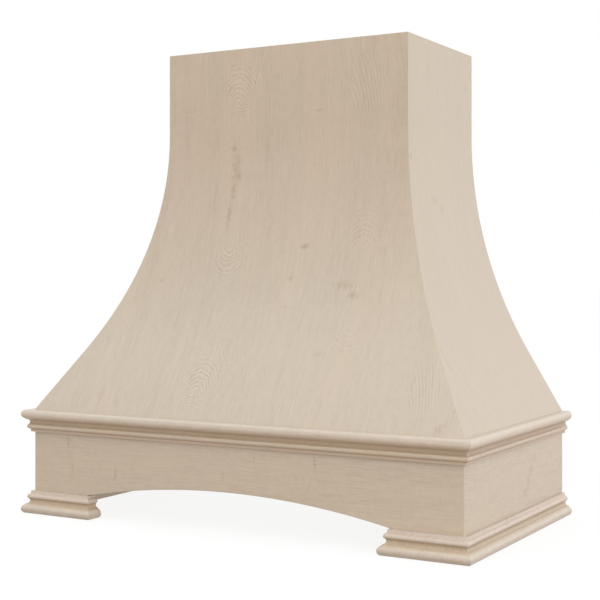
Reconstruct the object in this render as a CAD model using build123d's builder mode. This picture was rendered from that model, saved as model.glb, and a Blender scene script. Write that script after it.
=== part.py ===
from build123d import *

import math
import os

# A wooden range hood cover that hangs on a kitchen wall over the hob.
# Axes: X across, -Y is the front, +Z up. The origin is the middle of the footprint, at the lowest face.
# Millimetres throughout.

inch = 25.4

# ---- Driving dimensions ----

cover_height = 36 * inch
band_width = 36 * inch
band_depth = 19.5 * inch
band_height = 8 * inch

# The chimney stands in from the band by the same amount on the front and on both sides.
flare_inset = 7.5 * inch
flare_height = 21.6 * inch
flare_radius = 33 * inch

board_thickness = 0.75 * inch
plywood_thickness = 0.75 * inch
skin_thickness = 0.25 * inch
glue_line = 0.3

# Moulding section: q is how far it stands out, d is the distance from the nose end.
moulding_projection = 0.75 * inch
moulding_height = 1.7 * inch
nose_flat = 0.55 * inch
nose_height = 16.4
cove_start_q = 11.4
cove_start_d = 18.6
cove_floor_q = 6.4
cove_floor_d = 24.0
bead_start_q = 9.3
bead_start_d = 29.0
bead_crown_q = 10.5
bead_crown_d = 32.3
bead_end_q = 8.2
bead_end_d = 36.6
fillet_q = 5.2
fillet_d = 38.4

arch_top = 3 * inch
foot_length = 5.2 * inch

rib_width = 1.5 * inch
front_rib_spacing = 12 * inch
side_rib_from_wall = 6 * inch

base_frame_width = 2.75 * inch
ledge_height = 1.5 * inch
ledge_thickness = 0.75 * inch
ledge_above_arch = 0.75 * inch
hanging_rail_height = 3.5 * inch
glue_block_leg = 1.5 * inch

# Wall screws stand at the usual stud spacing. The hanging rail's are set in from its ends to match.
stud_spacing = 16 * inch
hanging_hole_inset = 18.75
wall_hole_radius = 2.6
wall_countersink_radius = 5.0

screw_radius = 2.0
screw_head_radius = 4.0
screw_bite = 0.5 * inch
screw_tip_radius = 0.4
screw_point_length = 4.0
screw_sides = 8
screw_clearance = 0.3
countersink_angle = 90
ledge_screw_margin = 4 * inch
screws_per_ledge = 2
foot_screw_inset = 1.75 * inch
hanging_screw_spacing = 8 * inch

# ---- Places that follow from them ----

half_width = band_width / 2
wall_y = (band_depth + moulding_projection) / 2
band_y = wall_y - band_depth
chimney_y = band_y + flare_inset
chimney_half_width = half_width - flare_inset
inner_half_width = half_width - board_thickness

upright_z = band_height + flare_height
frame_top_z = cover_height - plywood_thickness
base_frame_z = band_height - plywood_thickness
ledge_z = arch_top + ledge_above_arch
ledge_top_z = ledge_z + ledge_height

rib_offset = skin_thickness + glue_line
rib_depth = rib_offset + rib_width
arch_half_width = half_width - foot_length

# A screw passes through one thickness and bites into the piece behind it.
ledge_screw_length = ledge_thickness + screw_bite
frame_screw_length = plywood_thickness + screw_bite

# The flare's arc is centred out in front of it, and runs out below into a straight foot that meets the
# band's top edge. The arc's angle is what makes the two tangent.
flare_centre = flare_inset - flare_radius
foot_reach = math.hypot(flare_centre, flare_height)
flare_angle = math.atan2(flare_height, -flare_centre) - math.acos(flare_radius / foot_reach)

# Planes for the sections. Local x is the inset from the band's face, and local y is the height.
front_section = Plane(origin=(0, band_y, 0), x_dir=(0, 1, 0), z_dir=(1, 0, 0))
right_section = Plane(origin=(half_width, band_y, 0), x_dir=(-1, 0, 0), z_dir=(0, 1, 0))

# The upright plane of the right hip, and the one of the mitre at the right foot's inner end.
right_hip = Plane(origin=(half_width, band_y, 0), x_dir=(-1, 1, 0), z_dir=(1, 1, 0))
right_foot_mitre = Plane(origin=(arch_half_width, band_y, 0), x_dir=(1, 1, 0), z_dir=(1, -1, 0))
left_hip = Plane(origin=(-half_width, band_y, 0), x_dir=(1, 1, 0), z_dir=(-1, 1, 0))

os.makedirs("parts", exist_ok=True)


# ---- Sections and helpers ----


def save(part, name):
    """Label a finished piece and write it as its own file."""
    part.label = name
    export_step(part, f"parts/{name}.step")


def save_pair(part, name):
    """Write a right-hand piece and its mirror image on the left."""
    save(part, f"right_{name}")
    with BuildPart() as opposite:
        mirror(part, about=Plane.YZ)
    save(opposite.part, f"left_{name}")


def flare_curve(offset, top_z):
    """The flare's line as (inset, height), set back by offset from the outer face."""
    radius = flare_radius + offset
    upright_inset = flare_inset + offset
    run_out = (
        flare_centre + radius * math.cos(flare_angle),
        upright_z - radius * math.sin(flare_angle),
    )
    middle = (
        flare_centre + radius * math.cos(flare_angle / 2),
        upright_z - radius * math.sin(flare_angle / 2),
    )
    foot = (offset / math.cos(flare_angle), band_height)
    with BuildLine() as curve:
        Line(foot, run_out)
        ThreePointArc(run_out, middle, (upright_inset, upright_z))
        Line((upright_inset, upright_z), (upright_inset, top_z))
    return curve.line


def skin_section(plane):
    """Section of a bent skin: two parallel flare lines closed at the foot and at the top."""
    outer = flare_curve(0, cover_height)
    inner = flare_curve(skin_thickness, cover_height)
    with BuildSketch(plane) as section:
        with BuildLine():
            add(outer)
            add(inner)
            Line(outer @ 0, inner @ 0)
            Line(outer @ 1, inner @ 1)
        make_face()
    return section.sketch


def rib_back_edge(stretch):
    """The rib's two straight back cuts as (inset, height), from its top to its foot."""
    back_inset = flare_inset + rib_depth
    foot_inset = rib_depth / math.cos(flare_angle)
    knee_z = band_height + (back_inset - foot_inset) / math.tan(flare_angle)
    return [
        (back_inset * stretch, frame_top_z),
        (back_inset * stretch, knee_z),
        (foot_inset * stretch, band_height),
    ]


def rib_section(plane):
    """Section of a rib: the flare's curve behind the skin, and two straight cuts at the back."""
    curve = flare_curve(rib_offset, frame_top_z)
    with BuildSketch(plane) as section:
        with BuildLine():
            add(curve)
            Polyline(curve @ 1, *rib_back_edge(1), curve @ 0)
        make_face()
    return section.sketch


def core_section(plane):
    """Everything behind the skin's inner face, as far as the middle of the cover."""
    curve = flare_curve(rib_offset, frame_top_z)
    with BuildSketch(plane) as section:
        with BuildLine():
            add(curve)
            Polyline(curve @ 1, (half_width, frame_top_z), (half_width, band_height), curve @ 0)
        make_face()
    return section.sketch


def moulding_section(plane):
    """The moulding's section: local x is how far it stands out, and its nose end is at the origin."""
    with BuildSketch(plane) as section:
        with BuildLine():
            Line((0, 0), (nose_flat, 0))
            ThreePointArc(
                (nose_flat, 0), (moulding_projection, nose_height / 2), (nose_flat, nose_height)
            )
            Line((nose_flat, nose_height), (cove_start_q, cove_start_d))
            ThreePointArc(
                (cove_start_q, cove_start_d), (cove_floor_q, cove_floor_d), (bead_start_q, bead_start_d)
            )
            ThreePointArc(
                (bead_start_q, bead_start_d), (bead_crown_q, bead_crown_d), (bead_end_q, bead_end_d)
            )
            Polyline(
                (bead_end_q, bead_end_d),
                (fillet_q, fillet_d),
                (fillet_q, moulding_height),
                (0, moulding_height),
                (0, 0),
            )
        make_face()
    return section.sketch


def moulding_run(start, end, outward, nose_end):
    """A length of moulding from start to end, with its nose end up or down."""
    run = Vector(*end) - Vector(*start)
    away_from_nose = Vector(0, 0, -1) if nose_end == "up" else Vector(0, 0, 1)
    plane = Plane(origin=start, x_dir=outward, z_dir=Vector(*outward).cross(away_from_nose))
    with BuildPart() as piece:
        extrude(moulding_section(plane), amount=run.length, dir=run)
    return piece.part


def mitred(piece, *cuts):
    """A piece cut off along mitre planes, each given with the side that is kept."""
    with BuildPart() as cut_piece:
        add(piece)
        for plane, kept_side in cuts:
            split(bisect_by=plane, keep=kept_side)
    return cut_piece.part


def block(x_range, y_range, z_range):
    """A straight piece of sawn stock between the given faces."""
    middle_x = (x_range[0] + x_range[1]) / 2
    middle_y = (y_range[0] + y_range[1]) / 2
    with BuildPart() as piece:
        with BuildSketch(Plane.XY.offset(z_range[0])):
            with Locations((middle_x, middle_y)):
                Rectangle(x_range[1] - x_range[0], y_range[1] - y_range[0])
        extrude(amount=z_range[1] - z_range[0])
    return piece.part


def spread(first, last, count):
    """Evenly spaced places from first to last."""
    return [first + (last - first) * index / (count - 1) for index in range(count)]


def screw_form(length, clearance):
    """A countersunk wood screw under its head plane, made larger all round by a clearance.

    It is eight-sided, which is round enough at its size.
    """
    rings = [
        (0, screw_head_radius),
        (screw_head_radius - screw_radius, screw_radius),
        (length - screw_point_length, screw_radius),
        (length + clearance, screw_tip_radius),
    ]
    with BuildPart() as form:
        for depth, radius in rings:
            with BuildSketch(Plane.XY.offset(-depth)):
                RegularPolygon(radius + clearance, screw_sides)
        loft(ruled=True)
    return form.part


def screw_holes(piece, heads, length):
    """A piece with holes for the screws that pass through it or end in it."""
    hole = screw_form(length, screw_clearance)
    with BuildPart() as drilled:
        add(piece)
        with Locations(*heads):
            add(hole, mode=Mode.SUBTRACT)
    return drilled.part


def wall_holes(piece, half_spacing, centre_z, face_y):
    """Two countersunk holes, right through a rail to the wall."""
    heads = [
        Plane(origin=(x, face_y, centre_z), x_dir=(1, 0, 0), z_dir=(0, -1, 0))
        for x in (-half_spacing, half_spacing)
    ]
    with BuildPart() as drilled:
        add(piece)
        with Locations(*heads):
            CounterSinkHole(
                radius=wall_hole_radius,
                counter_sink_radius=wall_countersink_radius,
                counter_sink_angle=countersink_angle,
            )
    return drilled.part


def screws(heads, length):
    """A group of screws with their heads flush at the given planes."""
    screw = screw_form(length, 0)
    with BuildPart() as group:
        with Locations(*heads):
            add(screw)
    return group.part


def mirrored_heads(heads):
    """The same screw heads on the left."""
    return [
        Plane(
            origin=(-head.origin.X, head.origin.Y, head.origin.Z),
            x_dir=(-head.x_dir.X, head.x_dir.Y, head.x_dir.Z),
            z_dir=(-head.z_dir.X, head.z_dir.Y, head.z_dir.Z),
        )
        for head in heads
    ]


# ---- Screw places: each plane lies in the face that the screw's head is flush with ----

ledge_screw_z = ledge_z + ledge_height / 2
ledge_face_y = band_y + board_thickness + ledge_thickness
rear_ledge_face_y = wall_y - plywood_thickness - ledge_thickness
ledge_face_x = inner_half_width - ledge_thickness

front_ledge_heads = [
    Plane(origin=(x, ledge_face_y, ledge_screw_z), x_dir=(1, 0, 0), z_dir=(0, 1, 0))
    for x in spread(ledge_screw_margin - ledge_face_x, ledge_face_x - ledge_screw_margin, screws_per_ledge)
]
rear_ledge_heads = [
    Plane(origin=(x, rear_ledge_face_y, ledge_screw_z), x_dir=(1, 0, 0), z_dir=(0, -1, 0))
    for x in spread(ledge_screw_margin - ledge_face_x, ledge_face_x - ledge_screw_margin, screws_per_ledge)
]
right_ledge_heads = [
    Plane(origin=(ledge_face_x, y, ledge_screw_z), x_dir=(0, 1, 0), z_dir=(-1, 0, 0))
    for y in spread(
        ledge_face_y + ledge_screw_margin, rear_ledge_face_y - ledge_screw_margin, screws_per_ledge
    )
]

side_rib_y = wall_y - side_rib_from_wall
front_rib_x = front_rib_spacing / 2
rear_former_y = wall_y - plywood_thickness / 2
rib_top_inset = flare_inset + rib_offset + rib_width / 2


def up_from_base_frame(x, y):
    """A screw head under the base frame, driven up into a rib's foot."""
    return Plane(origin=(x, y, base_frame_z), x_dir=(1, 0, 0), z_dir=(0, 0, -1))


def down_from_top_frame(x, y):
    """A screw head on the top frame, driven down into what stands under it."""
    return Plane(origin=(x, y, cover_height), x_dir=(1, 0, 0), z_dir=(0, 0, 1))


front_rib_foot = up_from_base_frame(front_rib_x, band_y + foot_screw_inset)
hip_rib_foot = up_from_base_frame(half_width - foot_screw_inset, band_y + foot_screw_inset)
hip_rib_top = down_from_top_frame(half_width - rib_top_inset, band_y + rib_top_inset)
hanging_rail_top = down_from_top_frame(hanging_screw_spacing / 2, rear_former_y)


# ---- Bent skins of the flare and the chimney, mitred at the hips ----


def front_skin():
    with BuildPart() as piece:
        extrude(skin_section(front_section), amount=half_width, both=True)
    return mitred(piece.part, (right_hip, Keep.BOTTOM), (left_hip, Keep.BOTTOM))


def side_skin():
    with BuildPart() as piece:
        extrude(skin_section(right_section), amount=band_depth)
    return mitred(piece.part, (right_hip, Keep.TOP))


save(front_skin(), "front_skin")
save_pair(side_skin(), "side_skin")


# ---- Band: an arched front board and two side boards, mitred at the front corners ----


def front_band_board():
    face = Plane(origin=(0, band_y, 0), x_dir=(1, 0, 0), z_dir=(0, -1, 0))
    spring = (arch_half_width, moulding_height)
    with BuildPart() as piece:
        with BuildSketch(face):
            with BuildLine():
                Polyline((half_width, band_height), (half_width, 0), (arch_half_width, 0), spring)
                ThreePointArc(spring, (0, arch_top), (-arch_half_width, moulding_height))
                Polyline(
                    (-arch_half_width, moulding_height),
                    (-arch_half_width, 0),
                    (-half_width, 0),
                    (-half_width, band_height),
                    (half_width, band_height),
                )
            make_face()
        extrude(amount=-board_thickness)
    board = mitred(piece.part, (right_hip, Keep.BOTTOM), (left_hip, Keep.BOTTOM))
    return screw_holes(board, front_ledge_heads, ledge_screw_length)


def side_band_board():
    board = block((inner_half_width, half_width), (band_y, wall_y), (0, band_height))
    return screw_holes(mitred(board, (right_hip, Keep.TOP)), right_ledge_heads, ledge_screw_length)


save(front_band_board(), "front_band_board")
save_pair(side_band_board(), "side_band_board")


# ---- Mouldings: a chair rail round the band's top, and the same stock nose down round its foot ----

nose_y = band_y - moulding_projection
nose_x = half_width + moulding_projection


def front_chair_rail():
    run = moulding_run((-nose_x, band_y, band_height), (nose_x, band_y, band_height), (0, -1, 0), "up")
    return mitred(run, (right_hip, Keep.BOTTOM), (left_hip, Keep.BOTTOM))


def side_moulding(z, nose_end):
    """A length along the right side, from the front mitre to the wall."""
    run = moulding_run((half_width, nose_y, z), (half_width, wall_y, z), (1, 0, 0), nose_end)
    return mitred(run, (right_hip, Keep.TOP))


def front_base_foot():
    """The short front length across a foot, mitred to the side length and to the return."""
    inner_x = arch_half_width - moulding_projection
    run = moulding_run((inner_x, band_y, 0), (nose_x, band_y, 0), (0, -1, 0), "down")
    return mitred(run, (right_hip, Keep.BOTTOM), (right_foot_mitre, Keep.TOP))


def base_return():
    """The return on the arch side of a foot, which covers the board's end."""
    back_y = band_y + board_thickness
    run = moulding_run((arch_half_width, nose_y, 0), (arch_half_width, back_y, 0), (-1, 0, 0), "down")
    return mitred(run, (right_foot_mitre, Keep.BOTTOM))


save(front_chair_rail(), "front_chair_rail")
save_pair(side_moulding(band_height, "up"), "chair_rail")
save_pair(side_moulding(0, "down"), "base_moulding")
save_pair(front_base_foot(), "front_base_foot")
save_pair(base_return(), "base_return")


# ---- Ribs that the skins are glued to ----


def upright_rib(plane):
    """A rib sawn from plywood, centred on a section plane."""
    with BuildPart() as piece:
        extrude(rib_section(plane), amount=plywood_thickness / 2, both=True)
    return piece.part


def hip_rib():
    """The rib under a hip: its outer edge is bevelled both ways to lie behind both skins."""
    with BuildPart() as piece:
        with BuildSketch(right_hip):
            with BuildLine():
                Polyline((0, band_height), (0, frame_top_z), *rib_back_edge(math.sqrt(2)), close=True)
            make_face()
        extrude(amount=plywood_thickness / 2, both=True)
        extrude(core_section(front_section), amount=half_width, mode=Mode.INTERSECT)
        extrude(core_section(right_section), amount=band_depth, mode=Mode.INTERSECT)
    return screw_holes(piece.part, [hip_rib_foot, hip_rib_top], frame_screw_length)


front_rib = upright_rib(front_section.offset(front_rib_x))
save_pair(screw_holes(front_rib, [front_rib_foot], frame_screw_length), "front_rib")
save_pair(upright_rib(right_section.offset(side_rib_y - band_y)), "side_rib")
save_pair(upright_rib(right_section.offset(rear_former_y - band_y)), "rear_former")
save_pair(hip_rib(), "hip_rib")


# ---- Base frame at the top of the band, and the rail across the wall side ----

base_frame_inner_y = band_y + board_thickness + base_frame_width
base_frame_z_range = (base_frame_z, band_height)


def base_front_rail():
    rail = block(
        (-inner_half_width, inner_half_width),
        (band_y + board_thickness, base_frame_inner_y),
        base_frame_z_range,
    )
    feet = [front_rib_foot, hip_rib_foot]
    return screw_holes(rail, feet + mirrored_heads(feet), frame_screw_length)


def base_side_rail():
    return block(
        (inner_half_width - base_frame_width, inner_half_width),
        (base_frame_inner_y, wall_y - plywood_thickness),
        base_frame_z_range,
    )


def rear_base_rail():
    rail = block(
        (-inner_half_width, inner_half_width), (wall_y - plywood_thickness, wall_y), (ledge_z, band_height)
    )
    rail = screw_holes(rail, rear_ledge_heads, ledge_screw_length)
    return wall_holes(rail, stud_spacing / 2, (ledge_top_z + band_height) / 2, wall_y - plywood_thickness)


save(base_front_rail(), "base_front_rail")
save_pair(base_side_rail(), "base_side_rail")
save(rear_base_rail(), "rear_base_rail")


# ---- Ledges inside the band, which a hood insert is screwed up against ----

ledge_z_range = (ledge_z, ledge_top_z)


def front_ledge():
    ledge = block(
        (-inner_half_width, inner_half_width), (band_y + board_thickness, ledge_face_y), ledge_z_range
    )
    return screw_holes(ledge, front_ledge_heads, ledge_screw_length)


def rear_ledge():
    ledge = block(
        (-inner_half_width, inner_half_width), (rear_ledge_face_y, wall_y - plywood_thickness), ledge_z_range
    )
    return screw_holes(ledge, rear_ledge_heads, ledge_screw_length)


def side_ledge():
    ledge = block((ledge_face_x, inner_half_width), (ledge_face_y, rear_ledge_face_y), ledge_z_range)
    return screw_holes(ledge, right_ledge_heads, ledge_screw_length)


save(front_ledge(), "front_ledge")
save(rear_ledge(), "rear_ledge")
save_pair(side_ledge(), "side_ledge")


# ---- Glue blocks in the band's corners ----


def glue_block(corner_y, leg):
    """A three-sided block in a right-hand corner, with its legs along the two boards."""
    with BuildPart() as piece:
        with BuildSketch(Plane.XY.offset(ledge_top_z)):
            with BuildLine():
                Polyline(
                    (inner_half_width, corner_y),
                    (inner_half_width - glue_block_leg, corner_y),
                    (inner_half_width, corner_y + leg),
                    close=True,
                )
            make_face()
        extrude(amount=base_frame_z - ledge_top_z)
    return piece.part


save_pair(glue_block(band_y + board_thickness, glue_block_leg), "front_glue_block")
save_pair(glue_block(wall_y - plywood_thickness, -glue_block_leg), "rear_glue_block")


# ---- Top frame round the duct opening, and the hanging rail under it at the wall ----

top_half_width = chimney_half_width - rib_offset
duct_half_width = chimney_half_width - rib_depth
duct_front_y = chimney_y + rib_depth
duct_rear_y = wall_y - rib_width
top_frame_z_range = (frame_top_z, cover_height)
hanging_rail_heads = [hanging_rail_top] + mirrored_heads([hanging_rail_top])


def top_front_rail():
    rail = block(
        (-top_half_width, top_half_width), (chimney_y + rib_offset, duct_front_y), top_frame_z_range
    )
    return screw_holes(rail, [hip_rib_top] + mirrored_heads([hip_rib_top]), frame_screw_length)


def top_rear_rail():
    rail = block((-top_half_width, top_half_width), (duct_rear_y, wall_y), top_frame_z_range)
    return screw_holes(rail, hanging_rail_heads, frame_screw_length)


def top_side_rail():
    return block((duct_half_width, top_half_width), (duct_front_y, duct_rear_y), top_frame_z_range)


def hanging_rail():
    rail_face_y = wall_y - plywood_thickness
    rail_z = frame_top_z - hanging_rail_height
    hole_x = duct_half_width - hanging_hole_inset
    rail = block((-duct_half_width, duct_half_width), (rail_face_y, wall_y), (rail_z, frame_top_z))
    rail = screw_holes(rail, hanging_rail_heads, frame_screw_length)
    return wall_holes(rail, hole_x, rail_z + hanging_rail_height / 2, rail_face_y)


save(top_front_rail(), "top_front_rail")
save(top_rear_rail(), "top_rear_rail")
save_pair(top_side_rail(), "top_side_rail")
save(hanging_rail(), "hanging_rail")


# ---- Screws, grouped by what they hold ----

ledge_heads = front_ledge_heads + rear_ledge_heads + right_ledge_heads + mirrored_heads(right_ledge_heads)
foot_heads = [front_rib_foot, hip_rib_foot]
top_heads = [hip_rib_top, hanging_rail_top]

save(screws(ledge_heads, ledge_screw_length), "ledge_screws")
save(screws(foot_heads + mirrored_heads(foot_heads), frame_screw_length), "rib_foot_screws")
save(screws(top_heads + mirrored_heads(top_heads), frame_screw_length), "top_frame_screws")
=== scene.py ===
"""Looks of a wooden range hood cover: sanded maple skins, band boards and mouldings over a plywood frame.

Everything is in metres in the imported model's own frame: X across, -Y the arched front, +Z up.
"""

import logging
import math
from dataclasses import dataclass
from enum import Enum
from typing import Callable, Iterator, Sequence

import bmesh
import bpy
from mathutils import Matrix, Vector

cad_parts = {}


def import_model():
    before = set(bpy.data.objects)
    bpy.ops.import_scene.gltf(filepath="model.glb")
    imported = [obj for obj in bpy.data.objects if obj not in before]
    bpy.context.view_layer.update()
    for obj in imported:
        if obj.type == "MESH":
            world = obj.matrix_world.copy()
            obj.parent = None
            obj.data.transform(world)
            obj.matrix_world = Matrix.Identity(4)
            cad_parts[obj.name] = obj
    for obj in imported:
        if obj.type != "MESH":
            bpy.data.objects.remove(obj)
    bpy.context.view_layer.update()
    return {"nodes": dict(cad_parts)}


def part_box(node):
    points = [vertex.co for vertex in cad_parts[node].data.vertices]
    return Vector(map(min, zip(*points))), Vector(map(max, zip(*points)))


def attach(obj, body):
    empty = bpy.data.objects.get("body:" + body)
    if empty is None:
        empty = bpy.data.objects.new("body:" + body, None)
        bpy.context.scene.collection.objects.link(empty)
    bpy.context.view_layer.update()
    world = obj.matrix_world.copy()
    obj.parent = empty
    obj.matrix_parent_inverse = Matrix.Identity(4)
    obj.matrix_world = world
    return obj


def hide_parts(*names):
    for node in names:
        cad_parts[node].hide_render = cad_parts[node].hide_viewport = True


MM = 0.001
INCH = 25.4 * MM
NEAR = 0.01 * MM  # Places nearer to each other than this are one place
RIGHT, BACK, UP = Vector((1, 0, 0)), Vector((0, 1, 0)), Vector((0, 0, 1))
GRAIN = "grain"  # The attribute that tells the finishes where a point lies in its wood

Triple = tuple[float, float, float]
Plane = tuple[Vector, Vector]
Piece = bpy.types.Object
Material = bpy.types.Material
Socket = bpy.types.NodeSocket

log = logging.getLogger("range_hood_cover")


# ---- The cover's main sizes and directions ----


class Side(Enum):
    """A side of the cover, as the sign of its X."""

    RIGHT = 1
    LEFT = -1

    @property
    def label(self) -> str:
        """The word that starts the names of this side's pieces."""
        return self.name.lower()


class Nose(Enum):
    """Which way a moulding's rounded nose is turned, as the sign of Z."""

    UP = 1
    DOWN = -1


@dataclass(frozen=True)
class Cover:
    """The cover's main sizes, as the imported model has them.

    Args:
        half_width: From the middle to the outer face of a side board.
        front_y: The front board's outer face.
        wall_y: The wall face.
        band_top: Height of the band's top edge.
        top: Height of the whole cover.
    """

    half_width: float
    front_y: float
    wall_y: float
    band_top: float
    top: float

    @classmethod
    def from_frame(cls) -> "Cover":
        """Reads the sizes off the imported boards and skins.

        Returns:
            The cover's sizes.
        """
        front_low, front_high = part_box("front_band_board")
        side_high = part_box("right_side_band_board")[1]
        return cls(front_high.x, front_low.y, side_high.y, front_high.z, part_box("front_skin")[1].z)

    def hip(self, side: Side) -> Plane:
        """The upright plane that a front corner is mitred in.

        Args:
            side: The corner's side.

        Returns:
            A point of the plane, and its normal away from the front pieces.
        """
        corner = Vector((side.value * self.half_width, self.front_y, 0))
        return corner, Vector((side.value, 1, 0)).normalized()


# ---- The bench: one piece at a time, shaped with the modelling operators ----


class Bench:
    """A piece on the bench, held in edit mode while it is shaped."""

    DOUBLED = 0.005 * MM  # Vertices nearer to each other than this are merged
    ON_CUT = 0.001 * MM  # Vertices nearer to a saw cut than this lie on it
    ARRIS = math.radians(32)  # Edges that turn more than this are eased
    ROUND = math.radians(28)  # Edges that turn less than this are shaded smooth

    def __init__(
        self, name: str, centre: Vector, across: Vector, up: Vector, size: tuple[float, float]
    ) -> None:
        """Lays out the piece's first face as a plane.

        Args:
            name: The piece's name.
            centre: Middle of the face.
            across: Unit vector along its first side.
            up: Unit vector along its second side.
            size: Lengths of the two sides.
        """
        bpy.ops.object.select_all(action="DESELECT")
        turn = Matrix((across, up, across.cross(up))).transposed()
        bpy.ops.mesh.primitive_plane_add(size=1, location=centre, rotation=turn.to_euler())
        self.piece = bpy.context.object
        self.piece.name = self.piece.data.name = name
        self.piece.scale = (*size, 1)
        bpy.ops.object.transform_apply(location=True, rotation=True, scale=True)
        bpy.ops.object.mode_set(mode="EDIT")

    def pick(self, test: Callable[[Vector], bool]) -> None:
        """Selects the vertices that pass a test of their place, and what they bound.

        Args:
            test: Says whether a vertex at a place is selected.
        """
        bpy.ops.mesh.select_mode(type="VERT")
        bpy.ops.mesh.select_all(action="DESELECT")
        mesh = bmesh.from_edit_mesh(self.piece.data)
        for vert in mesh.verts:
            vert.select = test(vert.co)
        mesh.select_flush_mode()
        bmesh.update_edit_mesh(self.piece.data)

    def pick_beyond(self, point: Vector, direction: Vector) -> None:
        """Selects the vertices that lie past a point in a direction."""
        self.pick(lambda place: (place - point).dot(direction) > NEAR)

    def pull(self, step: Vector) -> None:
        """Extrudes what is selected by a step."""
        bpy.ops.mesh.extrude_region_move(TRANSFORM_OT_translate={"value": step})

    def turn(self, centre: Vector, axis: Vector, angle: float, steps: int) -> None:
        """Spins what is selected through an arc.

        Args:
            centre: A point of the axis.
            axis: Direction of the axis.
            angle: Angle by the right-hand rule. The operator counts it the other way.
            steps: Number of straight steps in the arc.
        """
        bpy.ops.mesh.spin(steps=steps, angle=-angle, center=centre, axis=axis)

    def saw(self, point: Vector, away: Vector, cap: bool = True) -> None:
        """Saws off what lies beyond a plane.

        Args:
            point: A point of the plane.
            away: The plane's normal, towards what is sawn off.
            cap: Whether the cut is closed with a face.
        """
        bpy.ops.mesh.select_all(action="SELECT")
        bpy.ops.mesh.bisect(
            plane_co=point, plane_no=away, use_fill=cap, clear_outer=True, threshold=self.ON_CUT
        )

    def merge(self) -> None:
        """Selects the whole piece and merges its doubled vertices."""
        bpy.ops.mesh.select_all(action="SELECT")
        bpy.ops.mesh.remove_doubles(threshold=self.DOUBLED)

    def close(self) -> None:
        """Merges doubled vertices, fills what is open and turns the faces outwards."""
        self.merge()
        bpy.ops.mesh.fill_holes(sides=0)
        bpy.ops.mesh.normals_make_consistent(inside=False)

    def face(self, outwards: Vector) -> None:
        """Merges an open sheet's doubled vertices and turns its faces to one side.

        Args:
            outwards: The direction that the first face is turned to.
        """
        self.merge()
        bpy.ops.mesh.normals_make_consistent(inside=False)
        mesh = bmesh.from_edit_mesh(self.piece.data)
        mesh.faces.ensure_lookup_table()
        if mesh.faces[0].normal.dot(outwards) < 0:
            bpy.ops.mesh.flip_normals()

    def apply(self, kind: str, **settings: object) -> None:
        """Adds a modifier and applies it.

        Args:
            kind: The modifier's type.
            **settings: Its settings by name.
        """
        mode = self.piece.mode
        bpy.ops.object.mode_set(mode="OBJECT")
        modifier = self.piece.modifiers.new(kind.lower(), kind)
        for name, value in settings.items():
            setattr(modifier, name, value)
        bpy.ops.object.modifier_apply(modifier=modifier.name)
        bpy.ops.object.mode_set(mode=mode)

    def thicken(self, thickness: float) -> None:
        """Gives a sheet its thickness, behind its faces. The new edges take the second material."""
        self.apply("SOLIDIFY", thickness=thickness, offset=-1, use_even_offset=True, material_offset_rim=1)

    def ease(self, width: float) -> None:
        """Rounds over the arrises, as sandpaper leaves them."""
        limit = {"limit_method": "ANGLE", "angle_limit": self.ARRIS, "use_clamp_overlap": True}
        self.apply("BEVEL", width=width, segments=3, **limit)

    def done(self) -> Piece:
        """Takes the piece off the bench.

        Returns:
            The finished piece, smooth where it is round.
        """
        bpy.ops.object.mode_set(mode="OBJECT")
        bpy.ops.object.shade_smooth_by_angle(angle=self.ROUND)
        self.apply("WEIGHTED_NORMAL", weight=100, keep_sharp=True)
        return self.piece


def lay_grain(piece: Piece, place: Callable[[Vector], Triple]) -> None:
    """Stores where each point of a piece lies in its wood, for the finishes to read.

    Args:
        piece: A finished piece.
        place: Gives a point's place across the grain, deep into the wood and along the grain.
    """
    grain = piece.data.attributes.new(GRAIN, "FLOAT_VECTOR", "POINT")
    for vert, entry in zip(piece.data.vertices, grain.data):
        entry.vector = place(vert.co)


def dress(piece: Piece, nodes: Sequence[str], finishes: Sequence[Material]) -> None:
    """Gives a piece its finishes and its place in the model.

    Args:
        piece: A finished piece.
        nodes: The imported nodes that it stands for.
        finishes: Its materials, in the order of its material slots.
    """
    for finish in finishes:
        piece.data.materials.append(finish)
    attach(piece, "root")
    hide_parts(*nodes)
    log.info("%s: %d faces, for %s", piece.name, len(piece.data.polygons), ", ".join(nodes))


# ---- Finishes ----

# A Mix node's two colour inputs and its colour output, which follow those for numbers and vectors.
FIRST, SECOND, MIXED = 6, 7, 2

WHITE = (1, 1, 1, 1)


def linear(hex_code: str) -> tuple[float, float, float, float]:
    """Turns an sRGB hex colour to linear light.

    Args:
        hex_code: The colour as six hex digits, with or without a leading #.

    Returns:
        Red, green, blue and alpha.
    """
    digits = hex_code.lstrip("#")
    channels = (int(digits[start:start + 2], 16) / 255 for start in (0, 2, 4))
    return (*(c / 12.92 if c <= 0.04045 else ((c + 0.055) / 1.055) ** 2.4 for c in channels), 1)


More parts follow.
